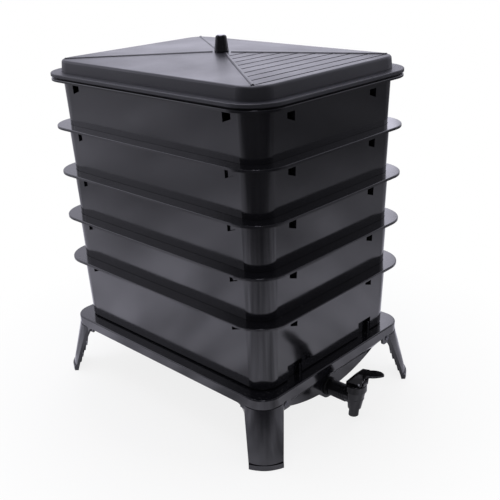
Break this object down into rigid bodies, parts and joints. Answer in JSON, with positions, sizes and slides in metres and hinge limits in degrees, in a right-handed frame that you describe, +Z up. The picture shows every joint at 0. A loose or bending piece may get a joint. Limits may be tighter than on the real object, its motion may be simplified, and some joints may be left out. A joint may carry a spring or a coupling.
{
  "type": "wormery",
  "caption": "Stacking-tray wormery: nested worm trays under a hipped lid, on a legged collector stand with a lever tap.",
  "frame": {"origin": "on the floor under the middle of the stand", "axes": "+Z up, +X along the trays towards the end with the tap, Y across the trays"},
  "size_m": [0.4737, 0.3284, 0.487],
  "materials": {
    "moulded_plastic": "satin black moulded polypropylene",
    "gloss_plastic": "glossy black moulded plastic",
    "rubber": "matt black rubber",
    "silicone": "translucent grey silicone",
    "steel": "plain stainless steel"
  },
  "bodies": {
    "stand": {"stand": "moulded_plastic", "leg_front_left": "moulded_plastic", "leg_front_right": "moulded_plastic", "leg_back_left": "moulded_plastic", "leg_back_right": "moulded_plastic", "leg_screws": "gloss_plastic", "tap_body": "gloss_plastic", "tap_bonnet": "gloss_plastic", "tap_washer_outer": "rubber", "tap_washer_inner": "rubber", "tap_nut": "gloss_plastic", "tap_lever_pin": "steel"},
    "tray_1": {"tray_1": "moulded_plastic"},
    "tray_2": {"tray_2": "moulded_plastic"},
    "tray_3": {"tray_3": "moulded_plastic"},
    "tray_4": {"tray_4": "moulded_plastic"},
    "tray_5": {"tray_5": "moulded_plastic"},
    "lid": {"lid": "moulded_plastic", "lid_knob": "gloss_plastic", "knob_screw": "steel"},
    "lever": {"tap_lever": "gloss_plastic"},
    "stem": {"tap_stem": "steel", "tap_seat_cup": "silicone"}
  },
  "joints": [
    {"name": "tray_1_lift", "type": "slide", "parent": "stand", "child": "tray_1", "axis": [0, 0, 1], "range_m": [0, 0.06]},
    {"name": "tray_2_lift", "type": "slide", "parent": "tray_1", "child": "tray_2", "axis": [0, 0, 1], "range_m": [0, 0.06]},
    {"name": "tray_3_lift", "type": "slide", "parent": "tray_2", "child": "tray_3", "axis": [0, 0, 1], "range_m": [0, 0.06]},
    {"name": "tray_4_lift", "type": "slide", "parent": "tray_3", "child": "tray_4", "axis": [0, 0, 1], "range_m": [0, 0.06]},
    {"name": "tray_5_lift", "type": "slide", "parent": "tray_4", "child": "tray_5", "axis": [0, 0, 1], "range_m": [0, 0.06]},
    {"name": "lid_lift", "type": "slide", "parent": "tray_5", "child": "lid", "axis": [0, 0, 1], "range_m": [0, 0.06]},
    {"name": "lever_tilt", "type": "hinge", "parent": "stand", "child": "lever", "pos_m": [0.2305, 0, 0.065], "axis": [0, 1, 0], "range_deg": [0, 20], "stiffness_Nm_per_rad": 0.003, "springref_deg": -25.78},
    {"name": "stem_lift", "type": "slide", "parent": "stand", "child": "stem", "axis": [0, 0, 1], "range_m": [0, 0.00332]}
  ],
  "couplings": [
    {"joint": "stem_lift", "follows": "lever_tilt", "m_per_rad": 0.0095}
  ]
}
